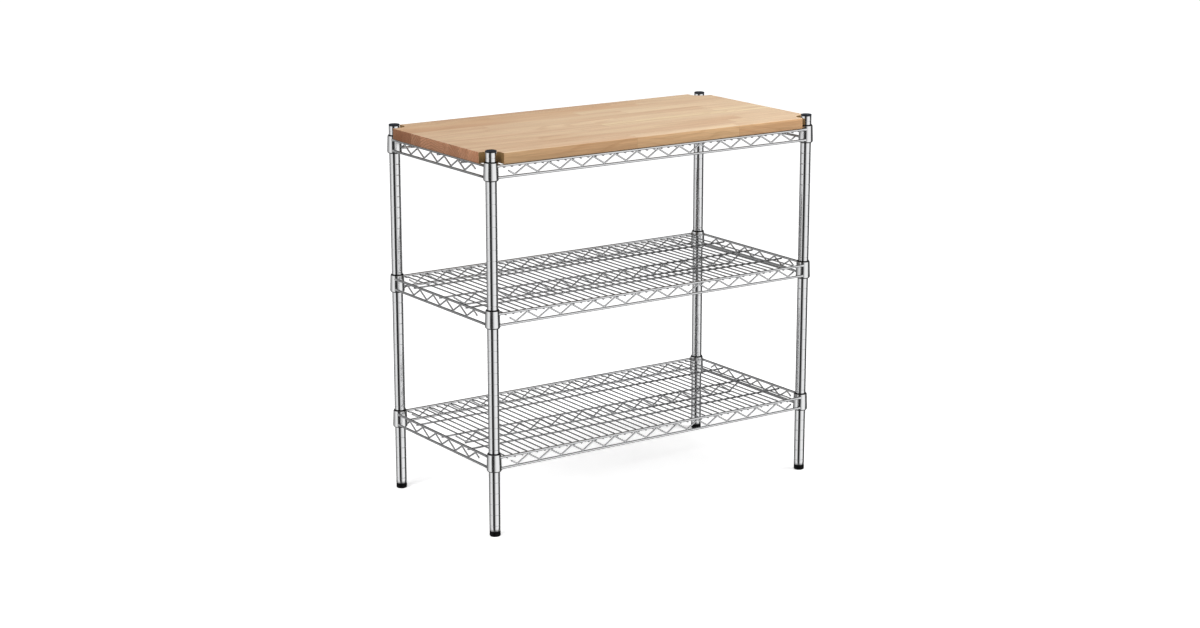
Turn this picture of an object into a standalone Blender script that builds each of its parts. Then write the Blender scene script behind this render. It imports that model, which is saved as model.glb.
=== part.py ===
"""Kitchen island on wire shelving: posts, split sleeves, three welded wire shelves, a wood top and levelling feet.

Metres, +Z up. The origin is on the floor under the middle of the island. X runs along the long side and
the front faces -Y. Each shelf is drawn once, with z = 0 at its top rail's centre line, and is used three times.
"""

import math

import bmesh
import bpy
from mathutils import Matrix, Vector

NAME = "wire_shelf_island"
GAP = 0.0003  # left between neighbouring pieces

# Posts
POST_SPACING_X = 0.878
POST_SPACING_Y = 0.424
POST_RADIUS = 0.0127
POST_WALL = 0.00125
POST_LENGTH = 0.8636
POST_FOOT = 0.0126  # height of the post's lower end
GROOVE_DEPTH = 0.0006
GROOVE_WIDTH = 0.0032
CAP_RIM = 0.0035
CAP_PLUG = 0.014

# Shelves, with heights measured from the top rail's centre line
SHELF_LEVELS = {"lower": 0.1854, "middle": 0.5156, "upper": 0.8458}
RAIL_RADIUS = 0.0029
RAIL_DROP = 0.0254  # from the top rail down to the bottom rail
SNAKE_RADIUS = 0.0017
SNAKE_PITCH = 0.0592
LONG_RAIL_OUT = 0.0105  # how far the rails stand outside the posts' axes
END_RAIL_OUT = 0.0100
COLLAR_TOP = 0.0077
COLLAR_BOTTOM = -0.0313
COLLAR_TOP_RADIUS = 0.0160
COLLAR_BOTTOM_RADIUS = 0.0175
COLLAR_WALL = 0.0015
CROSS_WIRES = 42
CROSS_WIRE_PITCH = 0.02005
CROSS_WIRE_SIDE = 0.00266
MAT_WELD = -0.0030  # where the cross wires lie on the ribs
RIB_SIDE = 0.0034
RIB_Y = 0.1155
CENTRE_DROP = 0.0240
CENTRE_WIRE_HALF = 0.3875

# Split sleeves
SLEEVE_TOP = 0.0103
SLEEVE_BOTTOM = -0.0323
SLEEVE_RIB_Z = -0.0071  # the height of the post's groove that the sleeve grips
SLEEVE_RIB_DEPTH = 0.0005
SLEEVE_RIB_WIDTH = 0.0022

# Wood top
BOARD_LENGTH = 0.9126
BOARD_DEPTH = 0.4566
BOARD_THICKNESS = 0.0254
NOTCH_RADIUS = 0.0235
BOARD_EDGE = 0.0012

# Levelling feet
FLANGE_HEIGHT = 0.0022
INSERT_LENGTH = 0.026
STUD_RADIUS = 0.00476
STUD_TOP = 0.034
PAD_HEIGHT = POST_FOOT - FLANGE_HEIGHT - 2 * GAP
PAD_SOCKET = 0.0035  # height of the socket's floor
PAD_ROUND = 0.003

ROUND_STEPS = 16
POSTS = {
    "front_left": (-1, -1),
    "front_right": (1, -1),
    "back_left": (-1, 1),
    "back_right": (1, 1),
}


def clear_scene():
    for scene_object in list(bpy.data.objects):
        bpy.data.objects.remove(scene_object, do_unlink=True)


def new_collection(name, hidden=False):
    collection = bpy.data.collections.new(name)
    collection.hide_render = hidden
    bpy.context.scene.collection.children.link(collection)
    return collection


def new_material(name, colour, roughness, metallic):
    made = bpy.data.materials.new(name)
    made.use_nodes = True
    shader = made.node_tree.nodes["Principled BSDF"]
    shader.inputs["Base Color"].default_value = (*colour, 1)
    shader.inputs["Roughness"].default_value = roughness
    shader.inputs["Metallic"].default_value = metallic
    return made


def add_object(name, mesh, collection):
    made = bpy.data.objects.new(name, mesh)
    collection.objects.link(made)
    return made


def add_cutter(name, mesh):
    cutter = add_object(name, mesh, CUTTERS)
    cutter.hide_render = True
    cutter.display_type = "WIRE"
    return cutter


def baked(source):
    """The object's mesh with its modifiers applied and its place in the world kept. The object is removed."""
    bpy.context.view_layer.update()
    graph = bpy.context.evaluated_depsgraph_get()
    mesh = bpy.data.meshes.new_from_object(source.evaluated_get(graph))
    mesh.transform(source.matrix_world)
    name = source.name
    bpy.data.objects.remove(source, do_unlink=True)
    mesh.name = name
    return mesh


def weld(mesh, distance=1e-6):
    work = bmesh.new()
    work.from_mesh(mesh)
    bmesh.ops.remove_doubles(work, verts=work.verts, dist=distance)
    bmesh.ops.recalc_face_normals(work, faces=work.faces)
    work.to_mesh(mesh)
    work.free()
    return mesh


def shade(mesh, angle=math.radians(35)):
    mesh.shade_smooth()
    mesh.set_sharp_from_angle(angle=angle)


def turned(name, profile, closed, steps=ROUND_STEPS):
    """A solid turned about Z from (radius, height) points that run down the outer side."""
    mesh = bpy.data.meshes.new(name)
    points = [(radius, 0, height) for radius, height in profile]
    edges = [(i, i + 1) for i in range(len(points) - 1)]
    if closed:
        edges.append((len(points) - 1, 0))
    mesh.from_pydata(points, edges, [])
    work = add_object(name, mesh, CUTTERS)
    screw = work.modifiers.new("turn", "SCREW")
    screw.steps = steps
    screw.render_steps = steps
    screw.use_merge_vertices = True
    screw.merge_threshold = 1e-5
    return weld(baked(work))


def wire(name, points, radius, resolution):
    """A round bar along straight runs between the points, with closed ends."""
    curve = bpy.data.curves.new(name, "CURVE")
    curve.dimensions = "3D"
    curve.bevel_depth = radius
    curve.bevel_resolution = resolution
    curve.use_fill_caps = True
    spline = curve.splines.new("POLY")
    spline.points.add(len(points) - 1)
    for point, place in zip(spline.points, points):
        point.co = (*place, 1)
    return weld(baked(add_object(name, curve, CUTTERS)))


def box(name, low, high):
    """A block between two corners. Each corner is set outright, so blocks can share a plane exactly."""
    mesh = bpy.data.meshes.new(name)
    work = bmesh.new()
    bmesh.ops.create_cube(work, size=1)
    for vertex in work.verts:
        vertex.co = [high[i] if vertex.co[i] > 0 else low[i] for i in range(3)]
    work.to_mesh(mesh)
    work.free()
    return mesh


def gathered(name, meshes):
    """Several meshes in one, still separate bodies."""
    work = bmesh.new()
    for mesh in meshes:
        work.from_mesh(mesh)
    together = bpy.data.meshes.new(name)
    work.to_mesh(together)
    work.free()
    return together


def combined(name, base, *steps):
    """The base mesh after each (operation, mesh) Boolean in turn."""
    work = add_object(name, base, CUTTERS)
    for number, (operation, mesh) in enumerate(steps):
        change = work.modifiers.new(operation.lower(), "BOOLEAN")
        change.operation = operation
        change.solver = "EXACT"
        change.object = add_cutter(f"{name}_cutter_{number}", mesh)
    return baked(work)


def moved(mesh, offset):
    copy = mesh.copy()
    copy.transform(Matrix.Translation(offset))
    return copy


def at_corners(mesh, sides):
    """Copies of a mesh drawn about a post's axis, at the posts with these (x, y) sides."""
    return [
        moved(mesh, (x * POST_SPACING_X / 2, y * POST_SPACING_Y / 2, 0)) for x, y in sides
    ]


def snake_points(corners, tail, first_high, high, low):
    """A zigzag along X, centred on 0, between two heights. Its two tails run part of the way back."""
    start = -(corners - 1) * SNAKE_PITCH / 4
    points = []
    for i in range(corners):
        is_high = (i % 2 == 0) == first_high
        points.append((start + i * SNAKE_PITCH / 2, 0, high if is_high else low))
    near, far = (high, low) if first_high else (low, high)
    tail_height = near + (far - near) * tail
    tail_x = start - tail * SNAKE_PITCH / 2
    return [(tail_x, 0, tail_height)] + points + [(-tail_x, 0, tail_height)]


def turned_quarter(points):
    """Points along X turned to run along Y."""
    return [(y, x, z) for x, y, z in points]


def shifted(points, offset):
    return [tuple(Vector(point) + Vector(offset)) for point in points]


def collar_radius(height):
    share = (COLLAR_TOP - height) / (COLLAR_TOP - COLLAR_BOTTOM)
    return COLLAR_TOP_RADIUS + share * (COLLAR_BOTTOM_RADIUS - COLLAR_TOP_RADIUS)


def collar_cone(name, offset, reach=0.0):
    """A solid taper along the collar's outer side, moved out by offset and longer by reach at each end."""
    high = COLLAR_TOP + reach
    low = COLLAR_BOTTOM - reach
    profile = [
        (0, high),
        (collar_radius(high) + offset, high),
        (collar_radius(low) + offset, low),
        (0, low),
    ]
    return turned(name, profile, closed=False)


def collar_body():
    """The collar's outer shape, still solid, with a broken edge at its foot."""
    edge = 0.0012
    profile = [
        (0, COLLAR_TOP),
        (COLLAR_TOP_RADIUS, COLLAR_TOP),
        (collar_radius(COLLAR_BOTTOM + edge), COLLAR_BOTTOM + edge),
        (COLLAR_BOTTOM_RADIUS - edge, COLLAR_BOTTOM),
        (0, COLLAR_BOTTOM),
    ]
    return turned("collar", profile, closed=False)


def post_mesh():
    """A tube with the three grooves that its sleeves grip. The empty grooves between them are left out."""
    top = POST_FOOT + POST_LENGTH
    profile = [(POST_RADIUS, top)]
    for level in sorted(SHELF_LEVELS.values(), reverse=True):
        middle = level + SLEEVE_RIB_Z
        profile += [
            (POST_RADIUS, middle + GROOVE_WIDTH / 2),
            (POST_RADIUS - GROOVE_DEPTH, middle),
            (POST_RADIUS, middle - GROOVE_WIDTH / 2),
        ]
    profile += [
        (POST_RADIUS, POST_FOOT),
        (POST_RADIUS - POST_WALL, POST_FOOT),
        (POST_RADIUS - POST_WALL, top),
    ]
    return turned("post", profile, closed=True)


def cap_mesh():
    """A plug with a slightly domed rim, hollow from below."""
    seat = POST_FOOT + POST_LENGTH + GAP
    top = seat + CAP_RIM
    plug = POST_RADIUS - POST_WALL - GAP
    hollow = plug - 0.0015
    edge = 0.0012
    profile = [
        (0, top),
        (POST_RADIUS - edge, top),
        (POST_RADIUS, top - edge),
        (POST_RADIUS, seat),
        (plug, seat),
        (plug, seat - CAP_PLUG),
        (hollow, seat - CAP_PLUG),
        (hollow, seat),
        (0, seat),
    ]
    return turned("post_cap", profile, closed=False)


def sleeve_half_mesh():
    """Half of a tapered sleeve about Z, on the +X side, with a rib inside that sits in the post's groove."""
    bore = POST_RADIUS + GAP
    outer_top = collar_radius(SLEEVE_TOP) - COLLAR_WALL - GAP
    outer_bottom = collar_radius(SLEEVE_BOTTOM) - COLLAR_WALL - GAP
    profile = [
        (outer_top, SLEEVE_TOP),
        (outer_bottom, SLEEVE_BOTTOM),
        (bore, SLEEVE_BOTTOM),
        (bore, SLEEVE_RIB_Z - SLEEVE_RIB_WIDTH / 2),
        (bore - SLEEVE_RIB_DEPTH, SLEEVE_RIB_Z),
        (bore, SLEEVE_RIB_Z + SLEEVE_RIB_WIDTH / 2),
        (bore, SLEEVE_TOP),
    ]
    ring = turned("sleeve_ring", profile, closed=True)
    reach = 0.03
    side = box("sleeve_side", (GAP / 2, -reach, -0.1), (reach, reach, 0.1))
    return combined("sleeve_half", ring, ("INTERSECT", side))


def insert_mesh():
    """A flanged insert pressed up into the post's lower end, bored for the stud."""
    bore = STUD_RADIUS + GAP
    body = POST_RADIUS - POST_WALL - GAP
    flange_top = POST_FOOT - GAP
    profile = [
        (body, flange_top + INSERT_LENGTH),
        (body, flange_top),
        (POST_RADIUS, flange_top),
        (POST_RADIUS, flange_top - FLANGE_HEIGHT),
        (bore, flange_top - FLANGE_HEIGHT),
        (bore, flange_top + INSERT_LENGTH),
    ]
    return turned("post_insert", profile, closed=True)


def pad_mesh():
    """A round foot with a rounded lower edge and a socket in its top that holds the stud."""
    outer = [(POST_RADIUS, PAD_HEIGHT)]
    for i in range(3):
        angle = math.radians(45 * i)
        outer.append(
            (
                POST_RADIUS - PAD_ROUND * (1 - math.cos(angle)),
                PAD_ROUND * (1 - math.sin(angle)),
            )
        )
    socket = STUD_RADIUS + GAP
    profile = outer + [(0, 0), (0, PAD_SOCKET), (socket, PAD_SOCKET), (socket, PAD_HEIGHT)]
    return turned("foot_pad", profile, closed=True)


def stud_mesh():
    """A stud that stands in the pad's socket and reaches up into the insert."""
    chamfer = 0.0008
    profile = [
        (0, STUD_TOP),
        (STUD_RADIUS - chamfer, STUD_TOP),
        (STUD_RADIUS, STUD_TOP - chamfer),
        (STUD_RADIUS, PAD_SOCKET + GAP),
        (0, PAD_SOCKET + GAP),
    ]
    return turned("foot_stud", profile, closed=False)


def long_truss_mesh():
    """Two rails and a snake wire along X at y = 0, cut off short of the corner collars."""
    half = POST_SPACING_X / 2 - 0.009
    ends = [(-half, 0, 0), (half, 0, 0)]
    rails = gathered(
        "long_rails",
        [
            wire("rail", ends, RAIL_RADIUS, 1),
            wire("rail", shifted(ends, (0, 0, -RAIL_DROP)), RAIL_RADIUS, 1),
        ],
    )
    reach = RAIL_RADIUS + SNAKE_RADIUS - 0.0005
    points = snake_points(27, 0.56, False, -reach, -RAIL_DROP + reach)
    snake = wire("snake", points, SNAKE_RADIUS, 0)
    cone = collar_cone("collar_space", GAP, reach=0.01)
    spaces = gathered(
        "collar_spaces",
        [
            moved(cone, (side * POST_SPACING_X / 2, -LONG_RAIL_OUT, 0))
            for side in (-1, 1)
        ],
    )
    return combined("long_truss", rails, ("UNION", snake), ("DIFFERENCE", spaces))


def end_frame_mesh():
    """The left end frame: two collars on the posts' axes, with two rails and a snake between them."""
    half = POST_SPACING_Y / 2 - 0.006
    x = -POST_SPACING_X / 2 - END_RAIL_OUT
    ends = [(x, -half, 0), (x, half, 0)]
    rails = gathered(
        "end_rails",
        [
            wire("rail", ends, RAIL_RADIUS, 1),
            wire("rail", shifted(ends, (0, 0, -RAIL_DROP)), RAIL_RADIUS, 1),
        ],
    )
    reach = RAIL_RADIUS + SNAKE_RADIUS - 0.0005
    points = snake_points(11, 0.5, True, -reach, -RAIL_DROP + reach)
    snake = wire("snake", shifted(turned_quarter(points), (x, 0, 0)), SNAKE_RADIUS, 0)
    left = [(-1, -1), (-1, 1)]
    collars = gathered("collars", at_corners(collar_body(), left))
    bore = collar_cone("collar_bore", -COLLAR_WALL, reach=0.01)
    bores = gathered("collar_bores", at_corners(bore, left))
    return combined(
        "end_frame", collars, ("UNION", rails), ("UNION", snake), ("DIFFERENCE", bores)
    )


def mat_mesh():
    """Cross wires from front to back on two ribs, with a truss under their middle."""
    reach_y = POST_SPACING_Y / 2 + LONG_RAIL_OUT - RAIL_RADIUS - GAP
    reach_x = POST_SPACING_X / 2 + END_RAIL_OUT - RAIL_RADIUS - GAP
    half = CROSS_WIRE_SIDE / 2
    cross_wires = []
    for i in range(CROSS_WIRES):
        x = (i - (CROSS_WIRES - 1) / 2) * CROSS_WIRE_PITCH
        low = (x - half, -reach_y, MAT_WELD)
        high = (x + half, reach_y, MAT_WELD + CROSS_WIRE_SIDE)
        cross_wires.append(box("cross_wire", low, high))
    side = RIB_SIDE / 2
    ribs = []
    for y in (-RIB_Y, 0, RIB_Y):
        low = (-reach_x, y - side, MAT_WELD - RIB_SIDE)
        high = (reach_x, y + side, MAT_WELD)
        ribs.append(box("rib", low, high))
    bottom_top = MAT_WELD - CENTRE_DROP
    low = (-CENTRE_WIRE_HALF, -side, bottom_top - RIB_SIDE)
    high = (CENTRE_WIRE_HALF, side, bottom_top)
    ribs.append(box("bottom_wire", low, high))
    reach = SNAKE_RADIUS - 0.0005
    points = snake_points(27, 1.0, False, MAT_WELD - RIB_SIDE - reach, bottom_top + reach)
    snake = wire("snake", points, SNAKE_RADIUS, 0)
    return combined(
        "wire_mat",
        gathered("ribs", ribs),
        ("UNION", snake),
        ("UNION", gathered("cross_wires", cross_wires)),
    )


def board_mesh():
    """The board, with a notch at each corner that is round about the post's axis and straight beyond it."""
    top_rail = SHELF_LEVELS["upper"]
    bottom = top_rail + RAIL_RADIUS + GAP
    top = bottom + BOARD_THICKNESS
    half_x = BOARD_LENGTH / 2
    half_y = BOARD_DEPTH / 2
    axis_x = POST_SPACING_X / 2
    axis_y = POST_SPACING_Y / 2
    arc_steps = 5
    corner = [(half_x, axis_y - NOTCH_RADIUS)]
    for i in range(arc_steps + 1):
        angle = math.radians(-90 - 90 * i / arc_steps)
        corner.append(
            (
                axis_x + NOTCH_RADIUS * math.cos(angle),
                axis_y + NOTCH_RADIUS * math.sin(angle),
            )
        )
    corner.append((axis_x - NOTCH_RADIUS, half_y))
    outline = []
    for side_x, side_y in ((1, 1), (-1, 1), (-1, -1), (1, -1)):
        points = corner if side_x * side_y > 0 else reversed(corner)
        outline += [(side_x * x, side_y * y) for x, y in points]
    curve = bpy.data.curves.new("board_outline", "CURVE")
    curve.dimensions = "2D"
    curve.fill_mode = "BOTH"
    curve.extrude = BOARD_THICKNESS / 2
    spline = curve.splines.new("POLY")
    spline.points.add(len(outline) - 1)
    for point, (x, y) in zip(spline.points, outline):
        point.co = (x, y, 0, 1)
    spline.use_cyclic_u = True
    work = add_object("board_outline", curve, CUTTERS)
    work.location.z = (bottom + top) / 2
    mesh = weld(baked(work), 1e-5)
    board = add_object("board_blank", mesh, CUTTERS)
    bevel = board.modifiers.new("edges", "BEVEL")
    bevel.width = BOARD_EDGE
    bevel.segments = 1
    bevel.limit_method = "ANGLE"
    bevel.angle_limit = math.radians(60)
    return baked(board)


def build_posts():
    parts = {
        "post": (post_mesh(), CHROME),
        "post_cap": (cap_mesh(), PLASTIC),
        "post_insert": (insert_mesh(), PLASTIC),
        "foot_stud": (stud_mesh(), STEEL),
        "foot_pad": (pad_mesh(), PLASTIC),
    }
    for kind, (mesh, material) in parts.items():
        shade(mesh)
        mesh.materials.clear()
        mesh.materials.append(material)
        for corner, (side_x, side_y) in POSTS.items():
            piece = add_object(f"{kind}_{corner}", mesh, ISLAND)
            piece.location = (side_x * POST_SPACING_X / 2, side_y * POST_SPACING_Y / 2, 0)


def build_sleeves():
    half = sleeve_half_mesh()
    shade(half)
    half.materials.clear()
    half.materials.append(PLASTIC)
    for shelf, level in SHELF_LEVELS.items():
        for corner, (side_x, side_y) in POSTS.items():
            for side, turn in (("right", 0), ("left", math.pi)):
                piece = add_object(f"{shelf}_sleeve_{corner}_{side}_half", half, ISLAND)
                place = (side_x * POST_SPACING_X / 2, side_y * POST_SPACING_Y / 2, level)
                piece.location = place
                piece.rotation_euler.z = turn


def build_shelves():
    truss = long_truss_mesh()
    end_frame = end_frame_mesh()
    mat = mat_mesh()
    long_y = POST_SPACING_Y / 2 + LONG_RAIL_OUT
    for mesh in (truss, end_frame, mat):
        shade(mesh)
        mesh.materials.clear()
        mesh.materials.append(CHROME)
    for shelf, level in SHELF_LEVELS.items():
        for name, mesh, y, turn in (
            ("left_end_frame", end_frame, 0, 0),
            ("right_end_frame", end_frame, 0, math.pi),
            ("front_truss", truss, -long_y, math.pi),
            ("back_truss", truss, long_y, 0),
            ("wire_mat", mat, 0, 0),
        ):
            piece = add_object(f"{shelf}_shelf_{name}", mesh, ISLAND)
            piece.location = (0, y, level)
            piece.rotation_euler.z = turn


def build_board():
    mesh = board_mesh()
    shade(mesh)
    mesh.materials.clear()
    mesh.materials.append(WOOD)
    add_object("wood_top", mesh, ISLAND)


clear_scene()
ISLAND = new_collection(NAME)
CUTTERS = new_collection("cutters", hidden=True)
CHROME = new_material("chrome", (0.72, 0.73, 0.74), 0.12, 1.0)
STEEL = new_material("zinc_steel", (0.56, 0.57, 0.58), 0.35, 1.0)
PLASTIC = new_material("black_plastic", (0.02, 0.02, 0.022), 0.45, 0.0)
WOOD = new_material("maple", (0.68, 0.49, 0.32), 0.5, 0.0)

build_posts()
build_sleeves()
build_shelves()
build_board()
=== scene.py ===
"""The look of a kitchen island: a wood top on chrome wire shelving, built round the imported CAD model."""

import math
import random

import bmesh
import bpy
from mathutils import Matrix, Vector


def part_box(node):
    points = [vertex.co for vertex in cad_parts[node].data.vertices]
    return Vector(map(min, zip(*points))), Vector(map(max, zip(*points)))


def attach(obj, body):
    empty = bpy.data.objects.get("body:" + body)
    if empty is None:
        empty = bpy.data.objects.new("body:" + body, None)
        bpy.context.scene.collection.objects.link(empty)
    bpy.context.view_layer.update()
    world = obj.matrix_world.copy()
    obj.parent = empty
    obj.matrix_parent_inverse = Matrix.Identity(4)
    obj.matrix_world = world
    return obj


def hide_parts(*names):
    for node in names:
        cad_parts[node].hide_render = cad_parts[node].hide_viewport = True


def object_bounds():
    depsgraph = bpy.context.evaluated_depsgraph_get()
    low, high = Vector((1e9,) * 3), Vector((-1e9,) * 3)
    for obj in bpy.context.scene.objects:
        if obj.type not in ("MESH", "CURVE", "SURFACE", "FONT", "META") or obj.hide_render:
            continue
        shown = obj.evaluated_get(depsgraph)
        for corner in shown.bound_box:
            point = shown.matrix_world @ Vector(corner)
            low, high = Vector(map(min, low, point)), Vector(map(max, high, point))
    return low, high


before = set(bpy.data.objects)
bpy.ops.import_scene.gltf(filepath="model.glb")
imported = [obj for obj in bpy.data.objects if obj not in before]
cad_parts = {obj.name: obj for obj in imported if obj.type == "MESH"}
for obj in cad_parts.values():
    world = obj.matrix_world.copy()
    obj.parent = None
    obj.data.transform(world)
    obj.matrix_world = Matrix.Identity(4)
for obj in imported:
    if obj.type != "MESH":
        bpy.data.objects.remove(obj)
CAD_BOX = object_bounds()

# Sizes read from the frame, in metres
POST_LOW, POST_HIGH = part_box("post_front_right")
AXIS_X = (POST_LOW.x + POST_HIGH.x) / 2
AXIS_Y = -(POST_LOW.y + POST_HIGH.y) / 2
POST_RADIUS = (POST_HIGH.x - POST_LOW.x) / 2
POST_BOTTOM = POST_LOW.z
POST_TOP = POST_HIGH.z
TOP = CAD_BOX[1].z
BOARD_LOW, BOARD_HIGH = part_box("wood_top")

# Posts and feet
INCH = 0.0254
GAP = 0.0003  # left between neighbouring pieces
SOFT_EDGE = 0.0004  # how far the small edges are eased
POST_WALL = 0.00125
GROOVE_DEPTH = 0.00042
GROOVE_HALF = 0.0012
GROOVE_SHOULDER = 1.3 * GROOVE_HALF
THREAD_PITCH = INCH / 16

# The wire shelves, with heights from the top rail's centre line
RAIL_RADIUS = 0.0029
SHELVES = ("lower", "middle", "upper")
LEVELS = {shelf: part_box(f"{shelf}_shelf_front_truss")[1].z - RAIL_RADIUS for shelf in SHELVES}
RAIL_DROP = INCH
RAIL_FLARE = 0.0025
RAIL_FLARE_SCALE = 1.32
LONG_RAIL_OUT = 0.0105
LONG_RAIL_START = 0.0130  # how far from the posts' axes the rails start, inside the collars' walls
END_RAIL_OUT = 0.0100
END_RAIL_START = 0.0131
SNAKE_RADIUS = 0.0019
SNAKE_PITCH = 0.0592
SNAKE_HIGH = -0.0044
SNAKE_LOW = -0.0211
LONG_SNAKE_BENDS = 27
END_SNAKE_BENDS = 11
BEND = 0.0045
WELD_OUT = 0.0013  # how far a rail's weld beads lie from the middle of the zigzag wire's bends
CROSS_WIRES = 42
CROSS_WIRE_PITCH = 0.02005
CROSS_WIRE_RADIUS = 0.00165
RIB_RADIUS = 0.0020
RIB_Z = -0.0047
RIB_Y = 0.1155
WIRE_TIP = (0.0004, 0.8)  # how long a wire's eased tip is, and how its radius shrinks there
COLLAR_TOP = 0.0077
COLLAR_BOTTOM = -0.0313
COLLAR_TOP_RADIUS = 0.0160
COLLAR_BOTTOM_RADIUS = 0.0175
COLLAR_WALL = 0.0015
SLEEVE_TOP = 0.0103
SLEEVE_BOTTOM = -0.0323

CORNERS = {
    "front_left": (-1, -1),
    "front_right": (1, -1),
    "back_left": (-1, 1),
    "back_right": (1, 1),
}


# ---------------------------------------------------------------- mesh tools


def finished(work, name, body, materials, nodes, sharp):
    """Turns a bmesh into a piece that rides on a body, stands for CAD nodes and has its materials."""
    bmesh.ops.recalc_face_normals(work, faces=work.faces)
    mesh = bpy.data.meshes.new(name)
    work.to_mesh(mesh)
    work.free()
    for material in materials:
        mesh.materials.append(material)
    mesh.shade_smooth()
    mesh.set_sharp_from_angle(angle=math.radians(sharp))
    piece = bpy.data.objects.new(name, mesh)
    bpy.context.scene.collection.objects.link(piece)
    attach(piece, body)
    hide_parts(*nodes)


def turned(work, profile, centre, steps=48, closed=False, arc=(0, 360), material=0):
    """Turns (radius, height) points about a vertical axis. A closed profile is a ring's section."""
    centre = Vector(centre)
    start, end = arc
    whole = end - start >= 360
    count = steps if whole else steps + 1
    angles = [math.radians(start + (end - start) * i / steps) for i in range(count)]
    columns = []
    for radius, height in profile:
        if radius < 1e-7:
            columns.append([work.verts.new(centre + Vector((0, 0, height)))] * count)
            continue
        spokes = [Vector((radius * math.cos(angle), radius * math.sin(angle), height)) for angle in angles]
        columns.append([work.verts.new(centre + spoke) for spoke in spokes])
    pairs = list(zip(columns, columns[1:]))
    if closed:
        pairs.append((columns[-1], columns[0]))
    for upper, lower in pairs:
        for i in range(steps):
            j = (i + 1) % count
            corners = []
            for vertex in (upper[i], upper[j], lower[j], lower[i]):
                if vertex not in corners:
                    corners.append(vertex)
            if len(corners) > 2:
                work.faces.new(corners).material_index = material
    if not whole:
        for i in (0, count - 1):
            work.faces.new([column[i] for column in columns]).material_index = material


def arc_points(centre, radius, start, end, steps):
    """(radius, height) points on an arc in a profile, with angles in degrees from the outward direction."""
    points = []
    for i in range(steps + 1):
        angle = math.radians(start + (end - start) * i / steps)
        points.append((centre[0] + radius * math.cos(angle), centre[1] + radius * math.sin(angle)))
    return points


def bent(points, bend=BEND, steps=4):
    """The path with each inner corner rounded to the bend's radius."""
    points = [Vector(point) for point in points]
    path = [points[0]]
    for before, corner, after in zip(points, points[1:], points[2:]):
        back = (before - corner).normalized()
        ahead = (after - corner).normalized()
        half = back.angle(ahead) / 2
        if half > math.radians(89.5):
            path.append(corner)
            continue
        reach = bend / math.tan(half)
        centre = corner + (back + ahead).normalized() * bend / math.sin(half)
        start = corner + back * reach - centre
        end = corner + ahead * reach - centre
        turn = start.angle(end)
        for i in range(steps + 1):
            share = i / steps
            spoke = start * math.sin((1 - share) * turn) + end * math.sin(share * turn)
            path.append(centre + spoke / math.sin(turn))
    path.append(points[-1])
    return path


def wire(work, path, radius, sides=12, tip=None):
    """A round bar along a path. Returns its rings of vertices. tip is its eased ends' length and scale."""
    path = [Vector(point) for point in path]
    scales = [1.0] * len(path)
    if tip:
        length, scale = tip
        after_start = path[0] + (path[1] - path[0]).normalized() * length
        before_end = path[-1] + (path[-2] - path[-1]).normalized() * length
        path = [path[0], after_start, *path[1:-1], before_end, path[-1]]
        scales = [scale, *[1.0] * len(scales), scale]
    tangents = []
    for i, point in enumerate(path):
        ahead = path[min(i + 1, len(path) - 1)] - point
        behind = point - path[max(i - 1, 0)]
        tangents.append((ahead.normalized() + behind.normalized()).normalized())
    normal = tangents[0].orthogonal().normalized()
    rings = []
    for i, (point, tangent, scale) in enumerate(zip(path, tangents, scales)):
        if i:
            normal.rotate(tangents[i - 1].rotation_difference(tangent))
        side = tangent.cross(normal)
        ring = []
        for k in range(sides):
            angle = 2 * math.pi * k / sides
            spoke = normal * math.cos(angle) + side * math.sin(angle)
            ring.append(work.verts.new(point + spoke * radius * scale))
        rings.append(ring)
    for low, high in zip(rings, rings[1:]):
        for k in range(sides):
            n = (k + 1) % sides
            work.faces.new((low[k], low[n], high[n], high[k]))
    work.faces.new(list(reversed(rings[0])))
    work.faces.new(rings[-1])
    return rings


def bead(work, place, size):
    """A small weld bead: an ellipsoid with half lengths size."""
    matrix = Matrix.Translation(place) @ Matrix.Diagonal((*size, 1))
    bmesh.ops.create_icosphere(work, subdivisions=1, radius=1, matrix=matrix)


def zigzag(bends, first_high, high, low, tail):
    """(along, height) points of a zigzag about 0, drawn so that its rounded bends reach high and low.

    tail is how far past the first and last bends it goes on, as a share of one straight run.
    """
    run = SNAKE_PITCH / 2
    slope = math.atan2(high - low, run)
    spare = BEND * (1 / math.cos(slope) - 1)
    high += spare
    low -= spare
    start = -(bends - 1) * run / 2
    points = []
    for i in range(bends):
        points.append((start + i * run, high if (i % 2 == 0) == first_high else low))
    near, far = (high, low) if first_high else (low, high)
    end = (start - tail * run, near + (far - near) * tail)
    return [end] + points + [(-end[0], end[1])]


# ---------------------------------------------------------------- shader tools


def node(tree, kind, inputs=(), **settings):
    """A shader node with its settings and inputs. An input's value is a number, a colour or a socket."""
    made = tree.nodes.new(kind)
    for name, value in settings.items():
        setattr(made, name, value)
    for name, value in dict(inputs).items():
        if isinstance(value, bpy.types.NodeSocket):
            tree.links.new(value, made.inputs[name])
        else:
            made.inputs[name].default_value = value
    return made


def maths(tree, operation, *values):
    """The result of a math node on numbers or sockets."""
    return node(tree, "ShaderNodeMath", enumerate(values), operation=operation).outputs[0]


def vector_maths(tree, operation, *values):
    return node(tree, "ShaderNodeVectorMath", enumerate(values), operation=operation).outputs


def attribute(tree, name):
    return node(tree, "ShaderNodeAttribute", attribute_name=name, attribute_type="GEOMETRY").outputs


def ramp(tree, factor, stops, interpolation="LINEAR"):
    """A colour ramp with (position, colour) stops. A colour may be one number, for a grey."""
    made = tree.nodes.new("ShaderNodeValToRGB")
    made.color_ramp.interpolation = interpolation
    elements = made.color_ramp.elements
    while len(elements) < len(stops):
        elements.new(0.5)
    for element, (position, colour) in zip(elements, stops):
        element.position = position
        element.color = (*colour, 1) if isinstance(colour, tuple) else (colour, colour, colour, 1)
    tree.links.new(factor, made.inputs["Fac"])
    return made.outputs["Color"]


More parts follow.
